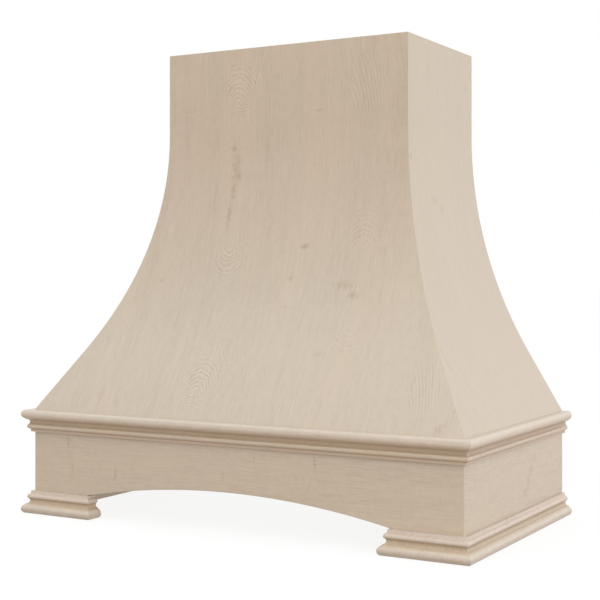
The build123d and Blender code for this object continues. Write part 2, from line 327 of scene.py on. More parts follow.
class Graph:
    """A node tree that is built one node at a time."""

    def __init__(self, tree: bpy.types.NodeTree) -> None:
        """Empties a tree to build in."""
        self.tree = tree
        self.tree.nodes.clear()

    def add(
        self, kind: str, inputs: Sequence[object] | dict[int | str, object] = (), output: int | str = 0,
        **settings: object,
    ) -> Socket | None:
        """Adds a node with its settings and links.

        Args:
            kind: The node's type, without ShaderNode in front.
            inputs: Values or other nodes' outputs, in the order of its inputs or by input.
            output: Which of its outputs is wanted.
            **settings: The node's settings by name.

        Returns:
            The wanted output, or None where the node has none.
        """
        node = self.tree.nodes.new(f"ShaderNode{kind}")
        for name, value in settings.items():
            setattr(node, name, value)
        for key, value in inputs.items() if isinstance(inputs, dict) else enumerate(inputs):
            if isinstance(value, Socket):
                self.tree.links.new(value, node.inputs[key])
            else:
                node.inputs[key].default_value = value
        return node.outputs[output] if node.outputs else None

    def in_mm(self, metres: Socket) -> Socket:
        """Turns a place in metres to one in mm."""
        return self.add("VectorMath", {0: metres, "Scale": 1 / MM}, operation="SCALE")

    def grain(self) -> Socket:
        """Reads where a piece's surface lies in its wood, in mm."""
        return self.in_mm(self.add("Attribute", output="Vector", attribute_name=GRAIN))

    def turned(self, *directions: Vector) -> Socket:
        """Reads Object coordinates along other directions.

        Args:
            *directions: The directions across the grain, deep into the wood and along the grain.

        Returns:
            The place along them, in mm.
        """
        here = self.add("TexCoord", output="Object")
        parts = [self.add("VectorMath", (here, way), "Value", operation="DOT_PRODUCT") for way in directions]
        return self.in_mm(self.add("CombineXYZ", parts))

    def stretched(self, place: Socket, width: float, length: float) -> Socket:
        """Scales a place in mm so that a pattern is so many mm wide and long in the wood."""
        return self.add("VectorMath", (place, (1 / width, 1 / width, 1 / length)), operation="MULTIPLY")

    def streaks(self, place: Socket, width: float, length: float, detail: float) -> Socket:
        """Draws soft streaks along the grain.

        Args:
            place: Place in the wood, in mm.
            width: A streak's width, in mm.
            length: A streak's length, in mm.
            detail: How much finer streaks are mixed in.

        Returns:
            A value about 0, mostly within 0.3 of it.
        """
        vector = self.stretched(place, width, length)
        noise = self.add("TexNoise", {"Vector": vector, "Scale": 1, "Detail": detail, "Roughness": 0.55})
        return self.add("Math", (noise, 0.5), operation="SUBTRACT")


def set_stops(ramp: Socket, stops: Sequence[tuple[float, str]]) -> None:
    """Sets the stops of a new colour ramp.

    Args:
        ramp: The ramp's colour output.
        stops: Each stop's position from 0 to 1 and its sRGB colour, in order.
    """
    elements = ramp.node.color_ramp.elements
    for index, (position, colour) in enumerate(stops):
        stop = elements[index] if index < 2 else elements.new(1.0)
        stop.position = position
        stop.color = linear(colour)


@dataclass(frozen=True)
class Finish:
    """A finish, named for the real material and how its surface was made.

    Args:
        name: The finish's name.
    """

    name: str

    def shader(self, graph: Graph) -> Socket:
        """Draws the finish.

        Args:
            graph: The tree to draw in.

        Returns:
            The surface's shader.
        """
        raise NotImplementedError

    def material(self) -> Material:
        """Builds the material that shows the finish.

        Returns:
            The material.
        """
        material = bpy.data.materials.new(self.name)
        material.use_nodes = True
        graph = Graph(material.node_tree)
        graph.add("OutputMaterial", {"Surface": self.shader(graph)})
        return material


@dataclass(frozen=True)
class Spot:
    """A place in the wood that looks different.

    Args:
        across: Its middle across the grain, in mm.
        along: Its middle along the grain, in mm.
        half_width: Half its width, in mm.
        half_length: Half its length, in mm.
    """

    across: float
    along: float
    half_width: float
    half_length: float

    def reach(self, graph: Graph, place: Socket) -> tuple[Socket, Socket]:
        """Measures how far a place is from the spot.

        Args:
            graph: The tree to draw in.
            place: Place in the wood, in mm.

        Returns:
            The offset in mm, and its length as a share of the spot's half size.
        """
        offset = graph.add("VectorMath", (place, (self.across, 0, self.along)), operation="SUBTRACT")
        scale = (1 / self.half_width, 0, 1 / self.half_length)
        share = graph.add("VectorMath", (offset, scale), operation="MULTIPLY")
        return offset, graph.add("VectorMath", (share,), "Value", operation="LENGTH")


@dataclass(frozen=True)
class Figure(Spot):
    """A patch of arched growth lines, where the knife or saw ran along a growth ring.

    The lines are parts of long rings, so the arches open away from the rings' centre.

    Args:
        centre: The rings' centre, as mm across and along the grain from the patch's middle.
        narrow: A ring's width as a share of its length.
        pitch: Distance between the lines along the grain, in mm.
        strength: How strongly the lines show.
        waver: How far the lines waver, in mm.
        ragged: How ragged the patch's edge is.
    """

    centre: tuple[float, float] = (0, -50)
    narrow: float = 0.6
    pitch: float = 9.5
    strength: float = 1.0
    waver: float = 15
    ragged: float = 1.6

    def lines(self, graph: Graph, place: Socket, ripple: Socket, breaks: Socket) -> Socket:
        """Draws the patch.

        Args:
            graph: The tree to draw in.
            place: Place in the wood, in mm.
            ripple: A small uneven value that makes the lines waver.
            breaks: How far the lines are there, from 0 to 1.

        Returns:
            A value about 0 that is higher or lower on the lines.
        """
        offset, reach = self.reach(graph, place)
        centre = (self.centre[0], 0, self.centre[1])
        spoke = graph.add("VectorMath", (offset, centre), operation="SUBTRACT")
        widened = graph.add("VectorMath", (spoke, (1 / self.narrow, 0, 1)), operation="MULTIPLY")
        radius = graph.add("VectorMath", (widened,), "Value", operation="LENGTH")
        uneven = graph.add("Math", (ripple, self.waver, radius), operation="MULTIPLY_ADD")
        phase = graph.add("Math", (uneven, 2 * math.pi / self.pitch), operation="MULTIPLY")
        wave = graph.add("Math", (phase,), operation="SINE")
        uneven_reach = graph.add("Math", (ripple, self.ragged, reach), operation="MULTIPLY_ADD")
        inside = graph.add(
            "MapRange", {"Value": uneven_reach, "From Min": 1.0, "From Max": 0.25, "To Max": self.strength},
            interpolation_type="SMOOTHSTEP",
        )
        worn = graph.add("Math", (wave, breaks), operation="MULTIPLY")
        return graph.add("Math", (worn, inside), operation="MULTIPLY")


@dataclass(frozen=True)
class Mark(Spot):
    """A small dark mark: a pin knot, a mineral streak or a bark fleck.

    Args:
        depth: How dark it is, from 0 to 1.
        lean: How far it leans across the grain for each mm along it.
        ragged: How ragged its edge is.
    """

    depth: float
    lean: float = 0
    ragged: float = 3.6

    def darkness(self, graph: Graph, place: Socket, crumbs: Socket) -> Socket:
        """Draws the mark.

        Args:
            graph: The tree to draw in.
            place: Place in the wood, in mm.
            crumbs: A fine uneven value that makes its edge ragged.

        Returns:
            How far it darkens the wood, from 0 to 1.
        """
        parts = graph.add("SeparateXYZ", (place,)).node.outputs
        above = graph.add("Math", (parts["Z"], self.along), operation="SUBTRACT")
        upright = graph.add("Math", (above, -self.lean, parts["X"]), operation="MULTIPLY_ADD")
        reach = self.reach(graph, graph.add("CombineXYZ", {"X": upright, "Z": parts["Z"]}))[1]
        rough = graph.add("Math", (crumbs, self.ragged, reach), operation="MULTIPLY_ADD")
        return graph.add(
            "MapRange", {"Value": rough, "From Min": 1.3, "From Max": -0.2, "To Max": self.depth},
            interpolation_type="SMOOTHSTEP",
        )


@dataclass(frozen=True)
class Maple(Finish):
    """Hard maple, planed or peeled and then sanded, with nothing on it.

    The eye sees a pale, slightly pink beige, close and even. Fine straight fibres and tone bands run along
    it, arched growth lines show in patches, and a few pin knots and mineral flecks are left in. Bare wood
    scatters what it reflects, so its gloss is a wide, weak haze.

    Args:
        light: sRGB colour of the palest wood.
        body: sRGB colour of most of the wood.
        dark: sRGB colour of the darkest lines.
        knot: sRGB colour of knots and flecks.
        blush: sRGB colour that pinker areas are multiplied by.
        fibre: Width of the fibres that show, in mm. Real ones are a tenth of that and too fine to draw.
        curl: How strongly the fine stripes across the grain show, as on a curly board. Real ones are half as
            wide and too fine to draw.
        contrast: How strongly fibres and bands show.
        figure_strength: How strongly the arched growth lines show.
        sway: How far the grain sways to its sides, in mm.
        roughness: Roughness of the sanded surface.
        painted_height_tints: sRGB colours that a sheet is multiplied by at its top and at its foot. This is
            painted light:
        the tint follows how the light falls up the sheet, bluer and greyer at the foot, which leans up into
        the light, for its sheen.
        painted_tint_heights: The heights up a sheet, in mm, where it has wholly the first tint and wholly the
            second.
        painted_profile_shade: For a moulding, places across its profile in mm and the sRGB colour that the
            wood is
        multiplied by there. This is painted shade and highlight: darker and browner under the nose, in the
        cove and in the groove under the bead, palest where the profile faces up into the light.
        figures: Patches of arched growth lines.
        marks: Knots and flecks.
    """

    light: str = "#D1C1AC"
    body: str = "#BFAE98"
    dark: str = "#9A866C"
    knot: str = "#8E6748"
    blush: str = "#FFF9F5"
    fibre: float = 2.0
    curl: float = 0.08
    contrast: float = 1.0
    figure_strength: float = 0.12
    sway: float = 22
    roughness: float = 0.37
    painted_height_tints: tuple[str, str] | None = None
    painted_tint_heights: tuple[float, float] = (640, 120)
    painted_profile_shade: tuple[tuple[float, str], ...] = ()
    figures: tuple[Figure, ...] = ()
    marks: tuple[Mark, ...] = ()

    def shader(self, graph: Graph) -> Socket:
        """Draws the finish on the piece's grain attribute.

        Args:
            graph: The tree to draw in.

        Returns:
            The surface's shader.
        """
        colour, relief = self.wood(graph, graph.grain())
        bump = graph.add("Bump", {"Strength": 0.25, "Distance": 0.06 * MM, "Height": relief})
        looks = {"Base Color": colour, "Roughness": self.roughness, "IOR": 1.55, "Normal": bump}
        return graph.add("BsdfPrincipled", looks)

    def wood(self, graph: Graph, place: Socket) -> tuple[Socket, Socket]:
        """Draws the wood.

        Args:
            graph: The tree to draw in.
            place: Place in the wood as across, deep and along, in mm.

        Returns:
            The wood's colour, and its relief from 0 to 1.
        """
        noise = {"Vector": graph.stretched(place, 110, 300), "Scale": 1, "Detail": 1}
        drawn = graph.add("TexNoise", noise, "Color")
        centred = graph.add("VectorMath", (drawn, (0.5, 0.5, 0.5)), operation="SUBTRACT")
        grain = graph.add("VectorMath", (centred, (self.sway, 0, 0), place), operation="MULTIPLY_ADD")
        # The fibres show more in some patches than in others.
        patches = graph.streaks(place, 55, 100, detail=2)
        shown = graph.add("Math", (patches, 3.2, 0.9), operation="MULTIPLY_ADD")
        plain = graph.streaks(grain, self.fibre, 60, detail=2.5)
        fibres = graph.add("Math", (plain, shown), operation="MULTIPLY")
        strands = graph.streaks(grain, 3.6 * self.fibre, 260, detail=1.5)
        mottle = graph.streaks(place, 12, 17, detail=2.5)
        bands = graph.streaks(grain, 34, 900, detail=1.5)
        drift = graph.streaks(place, 120, 420, detail=2)
        curls = graph.streaks(place, 12, 3.2, detail=1)
        # Each layer takes the tone lighter or darker than the body by its weight.
        tone = 0.5
        for layer, weight in (
            (fibres, 0.42), (strands, 0.08), (mottle, 0.16), (bands, 0.12), (drift, 0.18), (curls, self.curl)
        ):
            tone = graph.add("Math", (layer, weight * self.contrast, tone), operation="MULTIPLY_ADD")
        if self.figures:
            lines = self.growth_lines(graph, place)
            tone = graph.add("Math", (lines, self.figure_strength, tone), operation="MULTIPLY_ADD")
        colour = graph.add("ValToRGB", (tone,))
        set_stops(colour, ((0, self.dark), (0.5, self.body), (1, self.light)))
        for factor, tint in self.tones(graph, place, drift):
            mix = {0: factor, FIRST: colour, SECOND: tint}
            colour = graph.add("Mix", mix, MIXED, data_type="RGBA", blend_type="MULTIPLY")
        mix = {0: self.spots(graph, place), FIRST: colour, SECOND: linear(self.knot)}
        return graph.add("Mix", mix, MIXED, data_type="RGBA"), tone

    def tones(self, graph: Graph, place: Socket, drift: Socket) -> Iterator[tuple[object, object]]:
        """Finds the colours that the wood is multiplied by: its blush, and the light and shade painted on by
        height and across a moulding's profile.

        Args:
            graph: The tree to draw in.
            place: Place in the wood, in mm.
            drift: A value about 0 that drifts slowly over the wood.

        Yields:
            How far the wood takes each colour on, and the colour.
        """
        blushed = graph.add("Math", (drift, 1.5, 0.15), operation="MULTIPLY_ADD", use_clamp=True)
        yield blushed, linear(self.blush)
        # Painted light: the sheet is tinted by height, bluer and greyer at the foot for the sheen it catches.
        if self.painted_height_tints:
            (top, foot), (high, low) = map(linear, self.painted_height_tints), self.painted_tint_heights
            along = graph.add("SeparateXYZ", (place,), "Z")
            reach = {"Value": along, "From Min": high, "From Max": low}
            lowness = graph.add("MapRange", reach, interpolation_type="SMOOTHSTEP")
            yield 1.0, graph.add("Mix", {0: lowness, FIRST: top, SECOND: foot}, MIXED, data_type="RGBA")
        # Painted shade and highlight across a moulding's profile: darker and browner in the cove and groove,
        # palest on the parts that face up.
        if self.painted_profile_shade:
            last = self.painted_profile_shade[-1][0]
            height = graph.add("SeparateXYZ", (place,), "X")
            painted_shade = graph.add("ValToRGB", (graph.add("Math", (height, 1 / last), operation="MULTIPLY"),))
            set_stops(painted_shade, [(across / last, tone) for across, tone in self.painted_profile_shade])
            yield 1.0, painted_shade

    def growth_lines(self, graph: Graph, place: Socket) -> Socket:
        """Draws the patches of arched growth lines.

        Args:
            graph: The tree to draw in.
            place: Place in the wood, in mm.

        Returns:
            A value about 0 that is higher or lower on the lines.
        """
        # The lines waver, and they fade out in short breaks.
        ripple = graph.streaks(place, 11, 16, detail=2)
        faint = graph.streaks(place, 9, 13, detail=1)
        breaks = graph.add("Math", (faint, 3.4, 0.8), operation="MULTIPLY_ADD", use_clamp=True)
        total = 0.0
        for figure in self.figures:
            patch = figure.lines(graph, place, ripple, breaks)
            total = graph.add("Math", (total, patch), operation="ADD")
        return total

    def spots(self, graph: Graph, place: Socket) -> Socket:
        """Draws scattered fine flecks and the chosen marks.

        Args:
            graph: The tree to draw in.
            place: Place in the wood, in mm.

        Returns:
            How far the wood is darkened, from 0 to 1.
        """
        specks = graph.streaks(place, 1.6, 9, detail=1)
        regions = graph.streaks(place, 40, 130, detail=1)
        # The flecks gather in some regions, and only the noise's highest peaks show.
        sparse = graph.add("Math", (regions, 0.35, specks), operation="MULTIPLY_ADD")
        total = graph.add("MapRange", {"Value": sparse, "From Min": 0.22, "From Max": 0.42, "To Max": 0.16})
        crumbs = graph.streaks(place, 3.4, 8, detail=3)
        for mark in self.marks:
            total = graph.add("Math", (total, mark.darkness(graph, place, crumbs)), operation="MAXIMUM")
        return total


@dataclass(frozen=True)
class PlyLayers:
    """The layers that show on plywood's edge, light where a veneer runs along it and browner where it ends.

    Args:
        layer: One layer's thickness, in mm.
        light: sRGB colour of a layer that runs along the edge.
        dark: sRGB colour of a layer that ends at the edge.
        fuzz: How strongly its torn fibres mottle it.
        tufts: How many tufts of torn fibres there are to a mm.
        detail: How much finer tufts are mixed in.
    """

    layer: float
    light: str
    dark: str
    fuzz: float
    tufts: float
    detail: float

    def draw(self, graph: Graph, place: Socket) -> tuple[Socket, Socket]:
        """Draws the layers.

        Args:
            graph: The tree to draw in.
            place: Place in the sheet as across, deep and along, in mm.

        Returns:
            The edge's colour, and its relief.
        """
        deep = graph.add("SeparateXYZ", (place,), "Y")
        phase = graph.add("Math", (deep, math.pi / self.layer), operation="MULTIPLY")
        wave = graph.add("Math", (phase,), operation="SINE")
        layers = graph.add("MapRange", {"Value": wave, "From Min": -0.35, "From Max": 0.35})
        torn = graph.add("TexNoise", {"Vector": place, "Scale": self.tufts, "Detail": self.detail})
        mottled = graph.add("Math", (torn, self.fuzz, layers), operation="MULTIPLY_ADD")
        factor = graph.add("Math", (mottled, self.fuzz / 2), operation="SUBTRACT")
        mix = {0: factor, FIRST: linear(self.dark), SECOND: linear(self.light)}
        return graph.add("Mix", mix, MIXED, data_type="RGBA"), mottled


@dataclass(frozen=True)
class SheetEdge(Finish):
    """The sawn and sanded edge of bent plywood.

    The eye sees five thin layers, light and browner by turns, with a hairline of glue between them.

    Args:
        layers: The sheet's layers.
    """

    layers: PlyLayers = PlyLayers(6.35 / 5, "#D8C4A4", "#AE9069", fuzz=0.5, tufts=0.9, detail=3)

    def shader(self, graph: Graph) -> Socket:
        """Draws the finish on the piece's grain attribute.

        Args:
            graph: The tree to draw in.

        Returns:
            The surface's shader.
        """
        colour, relief = self.layers.draw(graph, graph.grain())
        bump = graph.add("Bump", {"Strength": 0.4, "Distance": 0.1 * MM, "Height": relief})
        return graph.add("BsdfPrincipled", {"Base Color": colour, "Roughness": 0.72, "Normal": bump})


@dataclass(frozen=True)
class Plywood(Finish):
    """Birch plywood, sawn to shape and not sanded further.

    The eye sees pale yellowish veneer on the faces, and on the sawn edges thin layers that are light and
    brown by turns.

    Args:
        normal: Direction square to the sheet's faces.
        grain: Direction of the face veneer's grain.
        face: The face veneer.
        edge: The layers that show on a sawn edge.
        facing: The least share of a face's normal that lies along the sheet's. A sawn edge has less.
    """

    normal: Triple
    grain: Triple
    face: Maple = Maple(
        "birch_veneer", light="#DFCBAC", body="#D0B996", dark="#B08F68", knot="#7F5F3A", fibre=1.4, contrast=2
    )
    edge: PlyLayers = PlyLayers(19.05 / 13, "#D9C198", "#A98458", fuzz=0.6, tufts=0.5, detail=4)
    facing: float = 0.8

    def shader(self, graph: Graph) -> Socket:
        """Draws the finish on Object coordinates.

        Args:
            graph: The tree to draw in.

        Returns:
            The surface's shader.
        """
        normal, grain = Vector(self.normal), Vector(self.grain)
        place = graph.turned(grain.cross(normal), normal, grain)
        veneer, relief = self.face.wood(graph, place)
        edge, mottled = self.edge.draw(graph, place)
        out = graph.add("TexCoord", output="Normal")
        along = graph.add("VectorMath", (out, normal), "Value", operation="DOT_PRODUCT")
        share = graph.add("Math", (along,), operation="ABSOLUTE")
        on_face = graph.add("Math", (share, self.facing), operation="GREATER_THAN")
        colour = graph.add("Mix", {0: on_face, FIRST: edge, SECOND: veneer}, MIXED, data_type="RGBA")
        height = graph.add("Mix", {0: on_face, 2: mottled, 3: relief}, data_type="FLOAT")
        bump = graph.add("Bump", {"Strength": 0.4, "Distance": 0.12 * MM, "Height": height})
        return graph.add("BsdfPrincipled", {"Base Color": colour, "Roughness": 0.62, "Normal": bump})


@dataclass(frozen=True)
class Pine(Finish):
    """Pine, planed all round.

    The eye sees warm yellow wood with browner growth lines, wide apart, which run along its length and curve
    round on its ends.

    Args:
        grain: Direction of the grain.
        light: sRGB colour of the early wood.
        dark: sRGB colour of the growth lines.
        ring: Distance between growth lines, in mm.
        fibre: Width of the fibres that show, in mm.
        sway: How far the grain sways to its sides, in mm.
        taper: Share of the way along the grain that counts in the distance from the rings' middle.
        pith: The way from the rings' middle to the origin, in mm, twice across the grain and then along it.
    """

    grain: Triple
    light: str = "#E3C795"
    dark: str = "#BC8C50"
    ring: float = 3.2
    fibre: float = 0.9
    sway: float = 26
    taper: float = 0.012
    pith: Triple = (60, 95, 0)

    def shader(self, graph: Graph) -> Socket:
        """Draws the finish on Object coordinates.

        Args:
            graph: The tree to draw in.

        Returns:
            The surface's shader.
        """
        grain = Vector(self.grain)
        first = UP if abs(grain.z) < 0.5 else RIGHT
        place = graph.turned(first, grain.cross(first), grain)
        noise = {"Vector": graph.stretched(place, 60, 400), "Scale": 1, "Detail": 1.5}
        drawn = graph.add("TexNoise", noise, "Color")
        bent = graph.add("VectorMath", (drawn, (self.sway, self.sway, 0), place), operation="MULTIPLY_ADD")
        flat = graph.add("VectorMath", (bent, (1, 1, self.taper)), operation="MULTIPLY")
        spoke = graph.add("VectorMath", (flat, self.pith), operation="ADD")
        radius = graph.add("VectorMath", (spoke,), "Value", operation="LENGTH")
        count = graph.add("Math", (radius, 1 / self.ring), operation="MULTIPLY")
        share = graph.add("Math", (count,), operation="FRACT")
        reach = {"Value": share, "From Min": 0.45, "From Max": 1.0}
        line = graph.add("MapRange", reach, interpolation_type="SMOOTHSTEP")
        noise = {"Vector": graph.stretched(place, self.fibre, 60), "Scale": 1, "Detail": 3}
        fibres = graph.add("TexNoise", noise)
        darkness = graph.add("Math", (fibres, 0.45, line), operation="MULTIPLY_ADD")
        soft = graph.add("Math", (darkness, 0.62), operation="MULTIPLY")
        mix = {0: soft, FIRST: linear(self.light), SECOND: linear(self.dark)}
        colour = graph.add("Mix", mix, MIXED, data_type="RGBA")
        bump = graph.add("Bump", {"Strength": 0.35, "Distance": 0.08 * MM, "Height": darkness})
        return graph.add("BsdfPrincipled", {"Base Color": colour, "Roughness": 0.58, "Normal": bump})


@dataclass(frozen=True)
class ZincSteel(Finish):
    """Steel screws, cold headed and plated with yellow passivated zinc.

    The eye sees thin gold that shifts to pink and green, with fine scuffs from the driver.

    Args:
        gold: sRGB colour of most of the plating.
        blush: sRGB colour of its pinker patches.
        patch: Size of a patch.
        scuff: Size of a scuff.
    """

    gold: str = "#C9B276"
    blush: str = "#B79A7C"
    patch: float = 3 * MM
    scuff: float = 0.5 * MM

    def shader(self, graph: Graph) -> Socket:
        """Draws the finish on Object coordinates.

        Args:
            graph: The tree to draw in.

        Returns:
            The surface's shader.
        """
        here = graph.add("TexCoord", output="Object")
        patches = graph.add("TexNoise", {"Vector": here, "Scale": 1 / self.patch, "Detail": 2})
        mix = {0: patches, FIRST: linear(self.gold), SECOND: linear(self.blush)}
        colour = graph.add("Mix", mix, MIXED, data_type="RGBA")
        scuffs = graph.add("TexNoise", {"Vector": here, "Scale": 1 / self.scuff, "Detail": 4})
        rough = graph.add("MapRange", {"Value": scuffs, "To Min": 0.24, "To Max": 0.48})
        return graph.add("BsdfPrincipled", {"Base Color": colour, "Metallic": 1.0, "Roughness": rough})


@dataclass(frozen=True)
class LitSheet(Finish):
    """A matt grey sheet that glows white.

    The camera and reflections see it near white, with the cover's shadow. It lights the cover half as much.

    Args:
        paint: sRGB colour of the sheet.
        glow: How bright it is for the cover, and for the camera and reflections.
    """

    paint: str = "#606060"
    glow: tuple[float, float] = (0.44, 0.88)

    def shader(self, graph: Graph) -> Socket:
        """Draws the finish, the same all over.

        Args:
            graph: The tree to draw in.

        Returns:
            The surface's shader.
        """
        paint = graph.add("BsdfDiffuse", {"Color": linear(self.paint)})
        path = graph.add("LightPath").node.outputs
        seen = graph.add("Math", (path["Is Camera Ray"], path["Is Glossy Ray"]), operation="MAXIMUM")
        strength = graph.add("MapRange", {"Value": seen, "To Min": self.glow[0], "To Max": self.glow[1]})
        return graph.add("AddShader", (paint, graph.add("Emission", {"Color": WHITE, "Strength": strength})))


# ---- Shell: the bent skins ----


@dataclass(frozen=True)
class FlareLine:
    """The line that a skin's outer face follows, as inset from the band's face and height.

    A straight foot rises from the band's top edge into an arc, which ends upright in the chimney.

    Args:
        foot_z: Height of the foot.
        inset: How far the chimney stands in from the band.
        rise: Height of the flare above its foot.
        radius: Radius of the arc.
    """

    foot_z: float
    inset: float = 7.5 * INCH
    rise: float = 21.6 * INCH
    radius: float = 33 * INCH

    @property
    def upright_z(self) -> float:
        """Height where the chimney starts."""
        return self.foot_z + self.rise

    @property
    def centre(self) -> float:
        """Inset of the arc's centre, which lies out in front."""
        return self.inset - self.radius

    @property
    def angle(self) -> float:
        """The arc's angle, which is also the foot's lean from upright."""
        reach = math.hypot(self.centre, self.rise)
        return math.atan2(self.rise, -self.centre) - math.acos(self.radius / reach)

    @property
    def run_out(self) -> tuple[float, float]:
        """Inset and height of the point where the foot meets the arc."""
        return (
            self.centre + self.radius * math.cos(self.angle),
            self.upright_z - self.radius * math.sin(self.angle),
        )

    @property
    def foot_length(self) -> float:
        """Length of the straight foot."""
        return (self.run_out[1] - self.foot_z) / math.cos(self.angle)

    def unroll(self, inset: float, height: float) -> tuple[float, float]:
        """Lays a point of the bent sheet out flat.

        Args:
            inset: The point's inset from the band's face.
            height: Its height.

        Returns:
            Its depth behind the outer face, and its distance up the sheet from the foot.
        """
        if height >= self.upright_z:
            arc_length = self.radius * self.angle
            return inset - self.inset, self.foot_length + arc_length + height - self.upright_z
        out, down = inset - self.centre, self.upright_z - height
        turned = math.atan2(down, out)
        if turned <= self.angle:
            return math.hypot(out, down) - self.radius, self.foot_length + self.radius * (self.angle - turned)
        beyond_x, beyond_z = inset - self.run_out[0], height - self.run_out[1]
        lean, rise = math.sin(self.angle), math.cos(self.angle)
        return beyond_x * rise - beyond_z * lean, self.foot_length + beyond_x * lean + beyond_z * rise


@dataclass
class Shell:
    """The three bent skins of the flare and the chimney, mitred at the hips.

    Args:
        cover: The cover's main sizes.
        line: The line that the skins follow.
        thickness: A skin's thickness.
        arc_steps: Straight steps in the arc.
        eased: How far the skins' edges are rounded over.
        spare: Extra sheet below the foot, which is sawn off level.
    """

    cover: Cover
    line: FlareLine
    thickness: float = 0.25 * INCH
    arc_steps: int = 36
    eased: float = 1.1 * MM
    spare: float = 12 * MM

    front_wood: Maple = Maple(
        "rotary_cut_maple_front",
        # Its tints are painted light: bluer and greyer at the foot, for the sheen there.
        light="#DBCBB4", body="#C8B69F", dark="#A18C72", painted_height_tints=("#F6F4F5", "#F3F8FF"), contrast=1.2,
        figure_strength=0.17,
        figures=(
            Figure(-99, 680, 62, 66, (-2, -50)),
            Figure(-92, 632, 48, 26, (0, -60), narrow=0.8, pitch=6),
            Figure(-40, 700, 40, 70, (-62, -190), narrow=0.26, pitch=18, strength=0.7),
            Figure(-101, 330, 58, 46, (0, 45)),
            Figure(-90, 88, 62, 64, (-4, -46)),
            Figure(-86, 38, 48, 26, (0, -60), narrow=0.8, pitch=6),
            Figure(-30, 130, 44, 80, (-66, -190), narrow=0.26, pitch=18, strength=0.6),
            Figure(190, 385, 46, 54, (-2, -50), strength=0.6),
            Figure(197, 178, 36, 50, (0, 48), strength=0.5),
            Figure(190, 650, 62, 90, (-70, -190), narrow=0.26, pitch=22, strength=0.7),
            Figure(368, 86, 46, 84, (-60, -190), narrow=0.26, pitch=18, strength=0.7),
        ),
        marks=(
            Mark(-103, 520, 11, 46, 0.28, 0.08),
            Mark(-111, 556, 6, 8, 0.42),
            Mark(-98, 503, 9, 13, 0.44),
            Mark(-108, 472, 7, 19, 0.36),
            Mark(-112, 425, 6, 25, 0.36, 0.05),
            Mark(-148, 470, 4, 60, 0.12),
            Mark(-34, 545, 6, 66, 0.10),
            Mark(68, 358, 11, 6, 0.46),
            Mark(47, 295, 7, 7, 0.34),
            Mark(49, 320, 2.4, 40, 0.14),
            Mark(165, 282, 26, 10, 0.26),
            Mark(186, 262, 11, 9, 0.38),
            Mark(79, 621, 14, 3, 0.28),
            Mark(-247, 290, 7, 5, 0.28),
            Mark(143, 143, 11, 8, 0.22),
            Mark(52, 238, 10, 3, 0.20),
            Mark(-307, 40, 4, 34, 0.16),
            Mark(409, 12, 11, 12, 0.28),
            Mark(-215, 636, 56, 2.2, 0.10),
        ),
    )
    # Painted sheen: the side skins' colours and tints are a little bluer and greyer than the front skin's,
    # for the light that the lit side reflects.
    side_wood: Maple = Maple(
        "rotary_cut_maple_side",
        light="#D7C7B1", body="#C4B39D", dark="#9E8A70", painted_height_tints=("#FCFDFF", "#F5F7FB"), contrast=0.75,
        figure_strength=0.04,
        figures=(Figure(60, 330, 50, 70), Figure(150, 520, 44, 80, (0, 50))),
        marks=(
            Mark(-41, 526, 6, 6, 0.42),
            Mark(46, 449, 23, 9, 0.22, 0.5),
            Mark(70, 430, 10, 9, 0.26),
            Mark(20, 330, 14, 7, 0.08),
            Mark(226, 682, 5, 9, 0.16),
            Mark(-146, 140, 5, 30, 0.10),
        ),
    )

    def sheet(
        self, name: str, middle: Vector, across: Vector, inwards: Vector, width: float
    ) -> Bench:
        """Bends one sheet, square at its ends.

        Args:
            name: The piece's name.
            middle: Middle of the band's face under the sheet, at the floor.
            across: Direction of the sheet's width.
            inwards: Direction from the band's face to the middle of the cover.
            width: The sheet's width.

        Returns:
            The bench with the sheet on it.
        """
        line = self.line

        def at(inset: float, height: float) -> Vector:
            """The place in the sheet's middle at an inset and a height."""
            return middle + inwards * inset + UP * height

        up_the_foot = inwards * math.sin(line.angle) + UP * math.cos(line.angle)
        bottom = at(0, line.foot_z) - up_the_foot * self.spare
        run_out = at(*line.run_out)
        halfway = (bottom + run_out) / 2
        bench = Bench(name, halfway, across, up_the_foot, (width, (run_out - bottom).length))
        bench.pick_beyond(halfway, up_the_foot)
        bench.turn(at(line.centre, line.upright_z), UP.cross(inwards), -line.angle, self.arc_steps)
        bench.pull(UP * (self.cover.top - line.upright_z))
        bench.face(-inwards)
        bench.thicken(self.thickness)
        bench.ease(self.eased)
        bench.saw(at(0, line.foot_z), -UP)
        return bench

    def front(self) -> None:
        """Makes the front skin."""
        cover, unroll = self.cover, self.line.unroll
        middle = Vector((0, cover.front_y, 0))
        bench = self.sheet("maple_front_skin", middle, RIGHT, BACK, 2 * cover.half_width)
        for side in Side:
            bench.saw(*cover.hip(side))
        piece = bench.done()
        lay_grain(piece, lambda point: (point.x, *unroll(point.y - cover.front_y, point.z)))
        finishes = (self.front_wood.material(), SheetEdge("bent_plywood_edge").material())
        dress(piece, ["front_skin"], finishes)

    def sides(self) -> None:
        """Makes the two side skins."""
        cover, unroll = self.cover, self.line.unroll
        x, depth = cover.half_width, cover.wall_y - cover.front_y
        finishes = (self.side_wood.material(), SheetEdge("bent_plywood_side_edge").material())
        for side in Side:
            across, inwards = Vector((0, side.value, 0)), Vector((-side.value, 0, 0))
            middle = Vector((side.value * x, (cover.front_y + cover.wall_y) / 2, 0))
            bench = self.sheet(f"maple_{side.label}_skin", middle, across, inwards, depth)
            point, away = cover.hip(side)
            bench.saw(point, -away)
            piece = bench.done()
            lay_grain(piece, lambda point: (point.y, *unroll(x - side.value * point.x, point.z)))
            dress(piece, [f"{side.label}_side_skin"], finishes)

    def build(self) -> None:
        """Makes all three skins."""
        self.front()
        self.sides()


# ---- Band: the arched front board and the side boards ----


